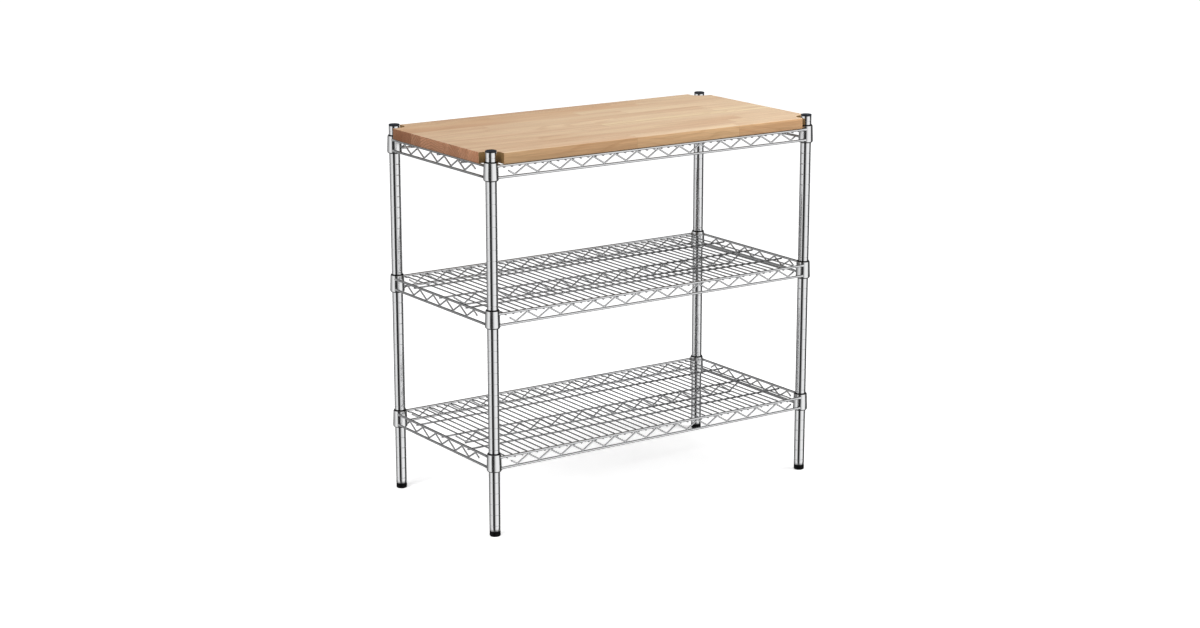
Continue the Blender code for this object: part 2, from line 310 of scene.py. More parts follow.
def blended(tree, factor, first, second, mode="MIX"):
    made = tree.nodes.new("ShaderNodeMix")
    made.data_type = "RGBA"
    made.blend_type = mode
    for name, value in (("Factor", factor), ("A", first), ("B", second)):
        socket = made.inputs[name]
        if isinstance(value, bpy.types.NodeSocket):
            tree.links.new(value, socket)
        else:
            socket.default_value = value
    return made.outputs["Result"]


def spread(tree, value, low, high, start=0.0, end=1.0):
    """A value that runs from low to high as the input goes from start to end."""
    inputs = {"Value": value, "From Min": start, "From Max": end, "To Min": low, "To Max": high}
    return node(tree, "ShaderNodeMapRange", inputs).outputs[0]


def new_material(name):
    made = bpy.data.materials.new(name)
    made.use_nodes = True
    tree = made.node_tree
    place = tree.nodes.new("ShaderNodeTexCoord").outputs["Object"]
    return made, tree, tree.nodes["Principled BSDF"], place


def noise(tree, place, scale, detail, roughness=0.5, output="Fac"):
    inputs = {"Vector": place, "Scale": scale, "Detail": detail, "Roughness": roughness}
    return node(tree, "ShaderNodeTexNoise", inputs).outputs[output]


def stretched(tree, place, scale):
    return node(tree, "ShaderNodeMapping", {"Vector": place, "Scale": scale}).outputs[0]


def bumped(tree, shader, height, strength, distance):
    inputs = {"Height": height, "Strength": strength, "Distance": distance}
    bump = node(tree, "ShaderNodeBump", inputs)
    tree.links.new(bump.outputs[0], shader.inputs["Normal"])


# ---------------------------------------------------------------- materials


def chrome_material(name, colour, low, high, ripple):
    """Bright plate: clouded roughness, faint wiping marks and a slow ripple in the surface."""
    made, tree, shader, place = new_material(name)
    cloud = noise(tree, place, scale=35, detail=4)
    marks = noise(tree, stretched(tree, place, (1, 1, 0.15)), scale=420, detail=2)
    darker = [c * 0.93 for c in colour]
    tone = blended(tree, cloud, (*darker, 1), (*colour, 1))
    tree.links.new(tone, shader.inputs["Base Color"])
    shader.inputs["Metallic"].default_value = 1
    mixed = maths(tree, "ADD", maths(tree, "MULTIPLY", cloud, 0.7), maths(tree, "MULTIPLY", marks, 0.3))
    tree.links.new(spread(tree, mixed, low, high, 0.3, 0.7), shader.inputs["Roughness"])
    slow = noise(tree, place, scale=90, detail=2)
    pitted = noise(tree, place, scale=520, detail=3, roughness=0.6)
    bumped(tree, shader, maths(tree, "MULTIPLY_ADD", pitted, 0.22, slow), ripple, 0.0004)
    return made


def plastic_material(name, colour, roughness, grain, gloss):
    """Moulded plastic: fine grain, faint scuffs that are paler and rougher."""
    made, tree, shader, place = new_material(name)
    worn = noise(tree, place, scale=130, detail=5, roughness=0.65)
    scuffs = ramp(tree, worn, [(0.52, 0.0), (0.75, 1.0)])
    paler = [c * 1.9 + 0.004 for c in colour]
    tone = blended(tree, scuffs, (*colour, 1), (*paler, 1))
    tree.links.new(tone, shader.inputs["Base Color"])
    tree.links.new(spread(tree, scuffs, roughness, roughness + 0.18), shader.inputs["Roughness"])
    shader.inputs["Specular IOR Level"].default_value = gloss
    bumped(tree, shader, noise(tree, place, scale=2600, detail=2), grain, 0.0001)
    return made


def zinc_material():
    """Zinc plate on a thread, with a spangled tone."""
    made, tree, shader, place = new_material("zinc_thread")
    spangle = node(tree, "ShaderNodeTexVoronoi", {"Vector": place, "Scale": 900}).outputs["Color"]
    cloud = noise(tree, place, scale=200, detail=4)
    tone = blended(tree, cloud, (0.42, 0.43, 0.45, 1), (0.62, 0.62, 0.61, 1))
    tone = blended(tree, 0.12, tone, spangle, "OVERLAY")
    tree.links.new(tone, shader.inputs["Base Color"])
    shader.inputs["Metallic"].default_value = 1
    tree.links.new(spread(tree, cloud, 0.24, 0.46), shader.inputs["Roughness"])
    bumped(tree, shader, cloud, 0.3, 0.0001)
    return made


# From the darkest staves to the palest
STAVE_TONES = [
    (0.0, (0.64, 0.365, 0.195)),
    (0.4, (0.72, 0.505, 0.330)),
    (0.6, (0.79, 0.585, 0.395)),
    (1.0, (0.88, 0.715, 0.470)),
]
LATE_WOOD = (0.52, 0.30, 0.17, 1)
STREAK = (0.58, 0.34, 0.20, 1)
PALE_CLOUD = (0.88, 0.72, 0.49, 1)
# Painted shade: how much darker and redder the upright faces are painted than the top
EDGE_SHADE = (1.02, 0.86, 0.68, 1)
GLUE = (0.34, 0.20, 0.115, 1)
RINGS_PER_METRE = 155.0


def growth_rings(tree, place, moved, chance):
    """Rings about a pith that lies off the stave, wavering along its length."""
    waver = noise(tree, stretched(tree, moved, (3.2, 9, 9)), 1.0, 2, output="Color")
    wander = vector_maths(tree, "MULTIPLY", waver, (0.0, 0.055, 0.055))[0]
    pith_place = {
        "Y": maths(tree, "MULTIPLY_ADD", chance.outputs["Y"], 0.12, -0.06),
        "Z": maths(tree, "MULTIPLY_ADD", chance.outputs["Z"], 0.05, 0.80),
    }
    pith = node(tree, "ShaderNodeCombineXYZ", pith_place).outputs[0]
    across = vector_maths(tree, "MULTIPLY", place, (0, 1, 1))[0]
    across = vector_maths(tree, "ADD", across, wander)[0]
    reach = vector_maths(tree, "DISTANCE", across, pith)["Value"]
    return maths(tree, "FRACT", maths(tree, "MULTIPLY", reach, RINGS_PER_METRE))


def end_grain(tree, tone, rings, moved, lightness):
    """Redder and darker than the top. It differs more from stave to stave, and has pores across it."""
    pores = noise(tree, stretched(tree, moved, (60, 1100, 1100)), 1.0, 3, 0.6)
    tint = ramp(tree, lightness, [(0.0, (0.66, 0.54, 0.58)), (1.0, (1.22, 1.00, 1.08))])
    tone = blended(tree, 1.0, tone, tint, "MULTIPLY")
    arcs = ramp(tree, rings, [(0.0, 1.12), (0.6, 1.0), (0.88, 0.68), (1.0, 1.12)], "EASE")
    tone = blended(tree, 1.0, tone, arcs, "MULTIPLY")
    return blended(tree, 1.0, tone, ramp(tree, pores, [(0.36, 0.45), (0.55, 1.0)]), "MULTIPLY")


def glue_line(tree):
    """How far a point is inside the thin line where its stave meets the next."""
    edges = attribute(tree, "edges")
    sides = node(tree, "ShaderNodeSeparateColor", {"Color": edges["Color"]}).outputs
    nearest = maths(tree, "MINIMUM", sides["Red"], sides["Green"])
    nearest = maths(tree, "MINIMUM", nearest, maths(tree, "MINIMUM", sides["Blue"], edges["Alpha"]))
    return spread(tree, nearest, 0.35, 0.0, 0.00015, 0.0006)


def top_tone(tree, lightness, late, streak, cloud, fine):
    """The sanded top: the stave's own tone with late wood, redder streaks, paler clouds and fine fibre."""
    tone = ramp(tree, lightness, STAVE_TONES)
    tone = blended(tree, maths(tree, "MULTIPLY", late, 0.34), tone, LATE_WOOD)
    streaks = ramp(tree, streak, [(0.42, 0.0), (0.74, 1.0)])
    tone = blended(tree, maths(tree, "MULTIPLY", streaks, 0.62), tone, STREAK)
    paler = ramp(tree, cloud, [(0.42, 0.0), (0.68, 1.0)])
    tone = blended(tree, maths(tree, "MULTIPLY", paler, 0.42), tone, PALE_CLOUD)
    return blended(tree, 1.0, tone, fine, "MULTIPLY")


def with_shaded_edges(tree, tone, upward):
    """Painted shade: the edges and sides are painted darker and redder than the top, where the top has sheen
    and they have none.
    """
    edge = ramp(tree, maths(tree, "ABSOLUTE", upward), [(0.2, 1.0), (0.9, 0.0)])
    return blended(tree, edge, tone, blended(tree, 1.0, tone, EDGE_SHADE, "MULTIPLY"))


def painted_notch_shade(tree, cloud, fine):
    """Painted shade: the notches' upright faces, cut across every grain, are painted dark brown where the
    posts shade them.
    """
    notch_shade_colour = ramp(tree, cloud, [(0.3, (0.235, 0.135, 0.050)), (0.7, (0.36, 0.215, 0.088))])
    return blended(tree, 1.0, notch_shade_colour, fine, "MULTIPLY")


def wood_material():
    """Glued staves of pale close-grained wood. Each stave has its own tone and its own slice of one grain."""
    made, tree, shader, place = new_material("maple_staves")
    stave = attribute(tree, "stave")["Vector"]
    chance = node(tree, "ShaderNodeSeparateXYZ", {"Vector": stave})
    shift = vector_maths(tree, "MULTIPLY", stave, (7.3, 3.1, 5.7))[0]
    moved = vector_maths(tree, "ADD", place, shift)[0]
    rings = growth_rings(tree, place, moved, chance)
    late = ramp(tree, rings, [(0.0, 0.15), (0.55, 0.0), (0.86, 0.8), (0.94, 1.0), (1.0, 0.15)], "EASE")
    fibre = noise(tree, stretched(tree, moved, (14, 900, 900)), 1.0, 4, 0.6)
    streak = noise(tree, stretched(tree, moved, (2.5, 70, 70)), 1.0, 3, 0.55)
    cloud = noise(tree, stretched(tree, moved, (2.2, 14, 14)), 1.0, 2)
    fine = ramp(tree, fibre, [(0.3, 0.82), (0.62, 1.08)])

    normal = node(tree, "ShaderNodeNewGeometry").outputs["Normal"]
    facing = node(tree, "ShaderNodeSeparateXYZ", {"Vector": normal}).outputs
    end = ramp(tree, maths(tree, "ABSOLUTE", facing["X"]), [(0.35, 0.0), (0.9, 1.0)])
    line = glue_line(tree)
    tone = top_tone(tree, chance.outputs["X"], late, streak, cloud, fine)
    # painted shade on the faces that don't face up
    tone = with_shaded_edges(tree, tone, facing["Z"])
    tone = blended(tree, end, tone, end_grain(tree, tone, rings, moved, chance.outputs["Y"]))
    # painted shade: the notches' upright faces are painted dark brown
    tone = blended(tree, attribute(tree, "notch")["Fac"], tone, painted_notch_shade(tree, cloud, fine))
    tone = blended(tree, line, tone, GLUE)
    tree.links.new(tone, shader.inputs["Base Color"])

    worn = maths(tree, "ADD", streak, maths(tree, "MULTIPLY", end, 0.3))
    tree.links.new(spread(tree, worn, 0.40, 0.62), shader.inputs["Roughness"])
    shader.inputs["Specular IOR Level"].default_value = 0.35
    depth = maths(tree, "ADD", maths(tree, "MULTIPLY", fibre, 0.6), maths(tree, "MULTIPLY", line, -1.2))
    depth = maths(tree, "ADD", depth, maths(tree, "MULTIPLY", late, -0.25))
    bumped(tree, shader, depth, 0.35, 0.00025)
    return made


CHROME = chrome_material("chrome_rail", (0.76, 0.765, 0.775), 0.08, 0.18, ripple=0.03)
# painted shade: a darker copy of the same chrome, so that the thin wires read darker than the rails and posts
SHADED_WIRE_CHROME = chrome_material("chrome_wire_shaded", (0.61, 0.615, 0.625), 0.08, 0.20, ripple=0.03)
POST_CHROME = chrome_material("chrome_post", (0.84, 0.845, 0.855), 0.06, 0.11, ripple=0.002)
COLLAR_CHROME = chrome_material("chrome_collar", (0.86, 0.865, 0.87), 0.07, 0.19, ripple=0.45)
BLACK = plastic_material("black_plastic", (0.005, 0.005, 0.0055), 0.36, grain=0.25, gloss=0.1)
CAP_BLACK = plastic_material("cap_plastic", (0.024, 0.028, 0.036), 0.42, grain=0.35, gloss=0.2)
ZINC = zinc_material()
WOOD = wood_material()


# ---------------------------------------------------------------- posts and feet


def post_profile():
    """Down the outside with a shallow rounded groove at every inch, then up the bore."""
    bore = POST_RADIUS - POST_WALL
    points = [(POST_RADIUS - SOFT_EDGE, POST_TOP), (POST_RADIUS, POST_TOP - SOFT_EDGE)]
    grooves = int((POST_TOP - POST_BOTTOM) / INCH)
    for i in range(grooves):
        middle = POST_TOP - INCH * (i + 0.5)
        points.append((POST_RADIUS, middle + GROOVE_SHOULDER))
        for k in range(-3, 4):
            share = -k / 3
            drop = (1 + math.cos(share * math.pi)) / 2
            points.append((POST_RADIUS - GROOVE_DEPTH * drop, middle + GROOVE_HALF * share))
        points.append((POST_RADIUS, middle - GROOVE_SHOULDER))
    points += [(POST_RADIUS, POST_BOTTOM + SOFT_EDGE), (POST_RADIUS - SOFT_EDGE, POST_BOTTOM)]
    points += [(bore, POST_BOTTOM), (bore, POST_TOP)]
    return points


def cap_profile():
    """A cap with a rounded rim round a slightly sunk face, and a ribbed hollow plug down inside the post."""
    seat = POST_TOP + GAP
    rim = 0.0011
    face = POST_RADIUS - 0.0027
    sunk = TOP - 0.0005
    plug = POST_RADIUS - POST_WALL - GAP
    plug_end = seat - 0.0138
    plug_floor = seat - 0.0006
    plug_bore = plug - 0.0024
    rib = 0.0006
    points = [(0, sunk), (face - 0.0012, sunk), (face, TOP - 0.00042), (face + 0.0006, TOP - 0.0001)]
    points += arc_points((POST_RADIUS - rim, TOP - rim), rim, 90, 0, 6)
    points += [(POST_RADIUS, seat + SOFT_EDGE), (POST_RADIUS - SOFT_EDGE, seat), (plug, seat)]
    for i in range(3):
        height = seat - 0.0030 - 0.0038 * i
        points += [(plug - rib, height + 0.0008), (plug, height), (plug - rib, height - 0.0016)]
    points += [(plug - 0.0015, plug_end), (plug_bore, plug_end), (plug_bore, plug_floor), (0, plug_floor)]
    return points


def insert_profile(low, high, bore):
    """A bushing up inside the post, with a flange under the post's end."""
    body = POST_RADIUS - POST_WALL - GAP
    flange_top = POST_BOTTOM - GAP
    lead_in = 0.0008
    return [
        (body - 0.0012, high),
        (body, high - 0.0020),
        (body - 0.0002, high - 0.0120),
        (body, flange_top + 0.0006),
        (body, flange_top),
        (POST_RADIUS - SOFT_EDGE, flange_top),
        (POST_RADIUS, flange_top - SOFT_EDGE),
        (POST_RADIUS, low + SOFT_EDGE),
        (POST_RADIUS - SOFT_EDGE, low),
        (bore + lead_in, low),
        (bore, low + lead_in),
        (bore, high),
    ]


def pad_profile(high, socket_floor, bore):
    """A round pad with a fine line round it, a rounded foot, a ring sunk in its underside and a socket."""
    rounding = 0.0028
    in_line = POST_RADIUS - 0.0003
    ring_depth = 0.0006
    return [
        (bore + 0.0006, high),
        (POST_RADIUS - SOFT_EDGE, high),
        (POST_RADIUS, high - SOFT_EDGE),
        (POST_RADIUS, high - 0.0016),
        (in_line, high - 0.0019),
        (in_line, high - 0.0023),
        (POST_RADIUS, high - 0.0026),
        *arc_points((POST_RADIUS - rounding, rounding), rounding, 0, -90, 8),
        (0.0085, 0),
        (0.0080, ring_depth),
        (0.0045, ring_depth),
        (0.0040, 0),
        (0, 0),
        (0, socket_floor),
        (bore, socket_floor),
        (bore, high - 0.0006),
    ]


def thread(work, centre, low, high, radius):
    """A rod with a helical thread: a fine grid whose radius follows the helix, and plain chamfered ends."""
    depth = THREAD_PITCH * 0.48
    rows_per_turn = 8
    steps = 20
    chamfer = 0.0010
    rows = int((high - low) / THREAD_PITCH * rows_per_turn)
    rings = []
    for row in range(rows + 1):
        height = low + (high - low) * row / rows
        taper = max(0, min(1, (height - low) / chamfer, (high - height) / chamfer))
        ring = []
        for k in range(steps):
            turn = k / steps
            phase = (height / THREAD_PITCH - turn) % 1
            crest = max(0.0, 1 - abs(phase - 0.5) * 2.3)
            reach = radius - depth + depth * min(1, crest * 1.25) * taper
            angle = 2 * math.pi * turn
            spoke = Vector((math.cos(angle) * reach, math.sin(angle) * reach, height))
            ring.append(work.verts.new(Vector(centre) + spoke))
        rings.append(ring)
    for lower, upper in zip(rings, rings[1:]):
        for k in range(steps):
            n = (k + 1) % steps
            work.faces.new((lower[k], lower[n], upper[n], upper[k]))
    work.faces.new(list(reversed(rings[0])))
    work.faces.new(rings[-1])


def build_foot(corner, centre):
    insert_low, insert_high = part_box(f"post_insert_{corner}")
    stud_low, stud_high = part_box(f"foot_stud_{corner}")
    pad_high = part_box(f"foot_pad_{corner}")[1].z
    stud_radius = (stud_high.x - stud_low.x) / 2
    bore = stud_radius + GAP

    work = bmesh.new()
    turned(work, insert_profile(insert_low.z, insert_high.z, bore), centre, closed=True)
    finished(work, f"insert_{corner}", "posts", [BLACK], [f"post_insert_{corner}"], 35)

    work = bmesh.new()
    thread(work, centre, stud_low.z, stud_high.z, stud_radius)
    finished(work, f"stud_{corner}", f"stud_{corner}", [ZINC], [f"foot_stud_{corner}"], 50)

    work = bmesh.new()
    turned(work, pad_profile(pad_high, stud_low.z - GAP, bore), centre, closed=True)
    finished(work, f"pad_{corner}", f"pad_{corner}", [BLACK], [f"foot_pad_{corner}"], 35)


def build_posts():
    for corner, (side_x, side_y) in CORNERS.items():
        centre = (side_x * AXIS_X, side_y * AXIS_Y, 0)
        work = bmesh.new()
        turned(work, post_profile(), centre, steps=40, closed=True)
        finished(work, f"tube_{corner}", "posts", [POST_CHROME], [f"post_{corner}"], 60)
        work = bmesh.new()
        turned(work, cap_profile(), centre)
        finished(work, f"cap_{corner}", "posts", [CAP_BLACK], [f"post_cap_{corner}"], 35)
        build_foot(corner, centre)


# ---------------------------------------------------------------- sleeves and shelves


def collar_radius(height):
    share = (COLLAR_TOP - height) / (COLLAR_TOP - COLLAR_BOTTOM)
    return COLLAR_TOP_RADIUS + share * (COLLAR_BOTTOM_RADIUS - COLLAR_TOP_RADIUS)


def sleeve_profile():
    """A tapered sleeve's section: softened ends, a groove round the outside and a rib in the bore."""
    bore = POST_RADIUS + GAP
    groove = 0.0005
    rib = bore - 0.0004

    def skin(height):
        return collar_radius(height) - COLLAR_WALL - GAP

    return [
        (bore + SOFT_EDGE, SLEEVE_TOP),
        (skin(SLEEVE_TOP) - SOFT_EDGE, SLEEVE_TOP),
        (skin(SLEEVE_TOP), SLEEVE_TOP - SOFT_EDGE),
        (skin(-0.004), -0.004),
        (skin(-0.005) - groove, -0.005),
        (skin(-0.009) - groove, -0.009),
        (skin(-0.010), -0.010),
        (skin(SLEEVE_BOTTOM), SLEEVE_BOTTOM),
        (bore + SOFT_EDGE, SLEEVE_BOTTOM),
        (bore, SLEEVE_BOTTOM + SOFT_EDGE),
        (bore, -0.0083),
        (rib, -0.0075),
        (rib, -0.0067),
        (bore, -0.0059),
        (bore, SLEEVE_TOP - SOFT_EDGE),
    ]


def build_sleeves():
    """Two halves round each post, split towards the front and the back."""
    slit = math.degrees(GAP / POST_RADIUS)
    for shelf, level in LEVELS.items():
        for corner, (side_x, side_y) in CORNERS.items():
            centre = (side_x * AXIS_X, side_y * AXIS_Y, level)
            for side, turn in (("right", 0), ("left", 180)):
                work = bmesh.new()
                arc = (turn - 90 + slit, turn + 90 - slit)
                turned(work, sleeve_profile(), centre, steps=24, closed=True, arc=arc)
                name = f"{shelf}_wedge_{corner}_{side}"
                half = f"{shelf}_sleeve_{corner}_{side}_half"
                finished(work, name, "posts", [BLACK], [half], 35)


def collar_profile():
    """A tapered collar's section: an eased upper edge and a longer rounding at the lower one."""
    edge = 0.0005
    foot = 0.0013
    foot_height = 0.0028
    bore = COLLAR_TOP_RADIUS - COLLAR_WALL
    points = [(bore, COLLAR_TOP - 0.0003), (bore + 0.0003, COLLAR_TOP)]
    points += arc_points((COLLAR_TOP_RADIUS - edge, COLLAR_TOP - edge), edge, 90, 0, 4)
    middle = collar_radius(COLLAR_BOTTOM + foot_height) - foot
    for i in range(7):
        angle = math.radians(15 * i)
        points.append((middle + foot * math.cos(angle), COLLAR_BOTTOM + foot_height * (1 - math.sin(angle))))
    points.append((COLLAR_BOTTOM_RADIUS - COLLAR_WALL, COLLAR_BOTTOM))
    return points


def onto_collar(ring, corner, along, level):
    """Moves a bar's end ring along its axis into the wall of the collar there, with the weld spread out."""
    side_x, side_y = corner
    centre = Vector((side_x * AXIS_X, side_y * AXIS_Y, 0))
    other = 1 - along
    middle = sum((vertex.co for vertex in ring), Vector()) / len(ring)
    inward = -1 if centre[along] > 0 else 1
    for vertex in ring:
        vertex.co = middle + (vertex.co - middle) * RAIL_FLARE_SCALE
        wall = collar_radius(min(vertex.co.z - level, COLLAR_TOP)) - COLLAR_WALL * 0.45
        offset = vertex.co[other] - centre[other]
        reach = math.sqrt(max(wall * wall - offset * offset, 1e-8))
        vertex.co[along] = centre[along] + inward * reach


def rail(work, start, end, corners, along, level):
    """A bar between two collars, with a short flare where it is welded to each."""
    start = Vector(start)
    end = Vector(end)
    step = (end - start).normalized()
    flare = step * RAIL_FLARE
    settled = step * 0.02
    path = [start, start + flare, start + settled, end - settled, end - flare, end]
    rings = wire(work, path, RAIL_RADIUS, sides=16)
    onto_collar(rings[0], corners[0], along, level)
    onto_collar(rings[-1], corners[1], along, level)


def build_end_frame(shelf, level, side, name):
    """Two collars with two rails and a zigzag wire between them."""
    work = bmesh.new()
    for side_y in (-1, 1):
        centre = (side * AXIS_X, side_y * AXIS_Y, level)
        turned(work, collar_profile(), centre, steps=56, closed=True, material=1)
    x = side * (AXIS_X + END_RAIL_OUT)
    reach = AXIS_Y - END_RAIL_START
    for z in (level, level - RAIL_DROP):
        rail(work, (x, -reach, z), (x, reach, z), ((side, -1), (side, 1)), 1, level)
    snake = zigzag(END_SNAKE_BENDS, True, SNAKE_HIGH, SNAKE_LOW, 0.5)
    wire(work, bent([(x, y, level + z) for y, z in snake]), SNAKE_RADIUS, tip=WIRE_TIP)
    for i in range(END_SNAKE_BENDS):
        y = (i - (END_SNAKE_BENDS - 1) / 2) * SNAKE_PITCH / 2
        z = level + (SNAKE_HIGH + WELD_OUT if i % 2 == 0 else SNAKE_LOW - WELD_OUT)
        bead(work, (x, y, z), (0.0016, 0.0030, 0.0011))
    replaced = [f"{shelf}_shelf_{name}_end_frame"]
    materials = [CHROME, COLLAR_CHROME]
    finished(work, f"{shelf}_{name}_end", f"{shelf}_shelf", materials, replaced, 45)


def build_long_truss(shelf, level, side, name):
    """Two rails along the front or the back with a zigzag wire between them."""
    work = bmesh.new()
    y = side * (AXIS_Y + LONG_RAIL_OUT)
    reach = AXIS_X - LONG_RAIL_START
    for z in (level, level - RAIL_DROP):
        rail(work, (-reach, y, z), (reach, y, z), ((-1, side), (1, side)), 0, level)
    snake = zigzag(LONG_SNAKE_BENDS, False, SNAKE_HIGH, SNAKE_LOW, 0.56)
    wire(work, bent([(x, y, level + z) for x, z in snake]), SNAKE_RADIUS, tip=WIRE_TIP)
    for i in range(LONG_SNAKE_BENDS):
        x = (i - (LONG_SNAKE_BENDS - 1) / 2) * SNAKE_PITCH / 2
        z = level + (SNAKE_LOW - WELD_OUT if i % 2 == 0 else SNAKE_HIGH + WELD_OUT)
        bead(work, (x, y, z), (0.0030, 0.0016, 0.0011))
    replaced = [f"{shelf}_shelf_{name}_truss"]
    finished(work, f"{shelf}_{name}_rails", f"{shelf}_shelf", [CHROME], replaced, 45)


def cross_wires(work, shelf, level):
    """Wires from front to back that dip at their ends to pass under the long rails, welded to the ribs."""
    high = -0.0016
    dipped = -(RAIL_RADIUS + CROSS_WIRE_RADIUS) + 0.0006
    bead_z = level + high - CROSS_WIRE_RADIUS - 0.0001
    tip = AXIS_Y + LONG_RAIL_OUT + 0.0016
    uneven = 0.0004
    chance = random.Random(f"{shelf} mat")
    for i in range(CROSS_WIRES):
        x = (i - (CROSS_WIRES - 1) / 2) * CROSS_WIRE_PITCH
        ends = [(x, side * (tip + chance.uniform(-uneven, uneven)), level + dipped) for side in (-1, 1)]
        shoulders = [(x, side * (tip - 0.0050), level + dipped) for side in (-1, 1)]
        flats = [(x, side * (tip - 0.0170), level + high) for side in (-1, 1)]
        path = [ends[0], shoulders[0], flats[0], flats[1], shoulders[1], ends[1]]
        wire(work, bent(path, bend=0.012, steps=2), CROSS_WIRE_RADIUS, sides=10, tip=(0.0003, 0.8))
        for y in (-RIB_Y, 0, RIB_Y):
            bead(work, (x, y, bead_z), (0.0017, 0.0020, 0.0008))


def build_mat(shelf, level):
    """The cross wires on two ribs and a middle truss."""
    work = bmesh.new()
    cross_wires(work, shelf, level)
    rib_reach = AXIS_X + END_RAIL_OUT + 0.0012
    rib_z = level + RIB_Z - 0.0002
    for y in (-RIB_Y, 0, RIB_Y):
        wire(work, [(-rib_reach, y, rib_z), (rib_reach, y, rib_z)], RIB_RADIUS, tip=WIRE_TIP)

    low_reach = 13 * SNAKE_PITCH / 2 + 0.0027
    low_z = RIB_Z - RAIL_DROP + 0.0010
    ends = [(-low_reach, 0, level + low_z), (low_reach, 0, level + low_z)]
    wire(work, ends, RIB_RADIUS, tip=WIRE_TIP)

    sunk = 0.0008  # how far the zigzag wire is pressed into the bars that it is welded to
    top_touch = RIB_Z - RIB_RADIUS - SNAKE_RADIUS + sunk
    low_touch = low_z + RIB_RADIUS + SNAKE_RADIUS - sunk
    snake = zigzag(LONG_SNAKE_BENDS, False, top_touch, low_touch, 0.93)
    wire(work, bent([(x, 0, level + z) for x, z in snake]), SNAKE_RADIUS, tip=WIRE_TIP)
    welds = LONG_SNAKE_BENDS + 2
    for i in range(welds):
        x = (i - (welds - 1) / 2) * SNAKE_PITCH / 2
        z = level + (low_touch - SNAKE_RADIUS if i % 2 == 1 else top_touch + SNAKE_RADIUS)
        bead(work, (x, 0, z), (0.0030, 0.0015, 0.0010))
    replaced = [f"{shelf}_shelf_wire_mat"]
    finished(work, f"{shelf}_mat", f"{shelf}_shelf", [SHADED_WIRE_CHROME], replaced, 45)


def build_shelves():
    for shelf, level in LEVELS.items():
        build_end_frame(shelf, level, -1, "left")
        build_end_frame(shelf, level, 1, "right")
        build_long_truss(shelf, level, -1, "front")
        build_long_truss(shelf, level, 1, "back")
        build_mat(shelf, level)


# ---------------------------------------------------------------- wood top

NOTCH = 0.0235
BOARD_EDGE = 0.0014

# Each row of staves from the front to the back: its tones from left to right, and where its joints are
STAVES = [
    ((0.49, 0.61, 0.47), (-0.062, 0.227)),
    ((0.38, 0.46, 0.60), (-0.150, 0.255)),
    ((0.52, 0.34, 0.52), (-0.253, 0.302)),
    ((0.38, 0.58), (-0.105,)),
    ((0.50, 0.92), (-0.030,)),
    ((0.38, 0.66, 0.60, 0.74), (-0.262, 0.044, 0.315)),
    ((0.48, 0.38, 0.62), (-0.296, 0.320)),
    ((0.36, 0.48, 0.64), (-0.270, 0.120)),
    ((0.22, 0.44), (0.010,)),
    ((0.06, 0.20, 0.50), (-0.200, 0.215)),
    ((0.08, 0.28, 0.38), (-0.335, 0.150)),
]
ROW_WIDTH = (BOARD_HIGH.y - BOARD_LOW.y) / len(STAVES)

# How light the end grain is at the left end of each row, from the front to the back
LEFT_ENDS = (0.80, 0.92, 0.72, 0.50, 0.62, 0.58, 0.66, 0.36, 0.12, 0.04, 0.30)


def board_outline():
    """The board seen from above, with a notch at each corner: round about the post and straight beyond."""
    corner = [(BOARD_HIGH.x, AXIS_Y - NOTCH)]
    corner += arc_points((AXIS_X, AXIS_Y), NOTCH, -90, -180, 14)
    corner.append((AXIS_X - NOTCH, BOARD_HIGH.y))
    outline = []
    for side_x, side_y in ((1, 1), (-1, 1), (-1, -1), (1, -1)):
        points = corner if side_x * side_y > 0 else reversed(corner)
        outline += [(side_x * x, side_y * y) for x, y in points]
    return outline


def board_block(work):
    """The outline raised to the board's thickness, with eased edges."""
    base = work.faces.new([work.verts.new((x, y, BOARD_LOW.z)) for x, y in board_outline()])
    raised = bmesh.ops.extrude_face_region(work, geom=[base])["geom"]
    rise = Vector((0, 0, BOARD_HIGH.z - BOARD_LOW.z))
    upper = [item for item in raised if isinstance(item, bmesh.types.BMVert)]
    bmesh.ops.translate(work, vec=rise, verts=upper)
    bmesh.ops.recalc_face_normals(work, faces=work.faces)
    eased = []
    for edge in work.edges:
        first, second = edge.verts
        if abs(first.co.z - second.co.z) < 1e-6 or edge.calc_face_angle(0) > math.radians(60):
            eased.append(edge)
    bmesh.ops.bevel(
        work, geom=eased, offset=BOARD_EDGE, segments=3, profile=0.5, affect="EDGES", clamp_overlap=True
    )


def row_at(face):
    """The row that a face is in. The board's back edge counts as one row more."""
    return int((face.calc_center_median().y - BOARD_LOW.y) / ROW_WIDTH)


def cut_staves(work):
    """Cuts the faces along the glue lines: first from row to row, then at the joints in each row."""
    for i in range(1, len(STAVES)):
        everything = [*work.verts, *work.edges, *work.faces]
        line = (0, BOARD_LOW.y + ROW_WIDTH * i, 0)
        bmesh.ops.bisect_plane(work, geom=everything, plane_co=line, plane_no=(0, 1, 0))
    for i, (_, joints) in enumerate(STAVES):
        for joint in joints:
            faces = [face for face in work.faces if row_at(face) == i]
            edges = dict.fromkeys(edge for face in faces for edge in face.edges)
            verts = dict.fromkeys(vertex for face in faces for vertex in face.verts)
            row = [*faces, *edges, *verts]
            bmesh.ops.bisect_plane(work, geom=row, plane_co=(joint, 0, 0), plane_no=(1, 0, 0))


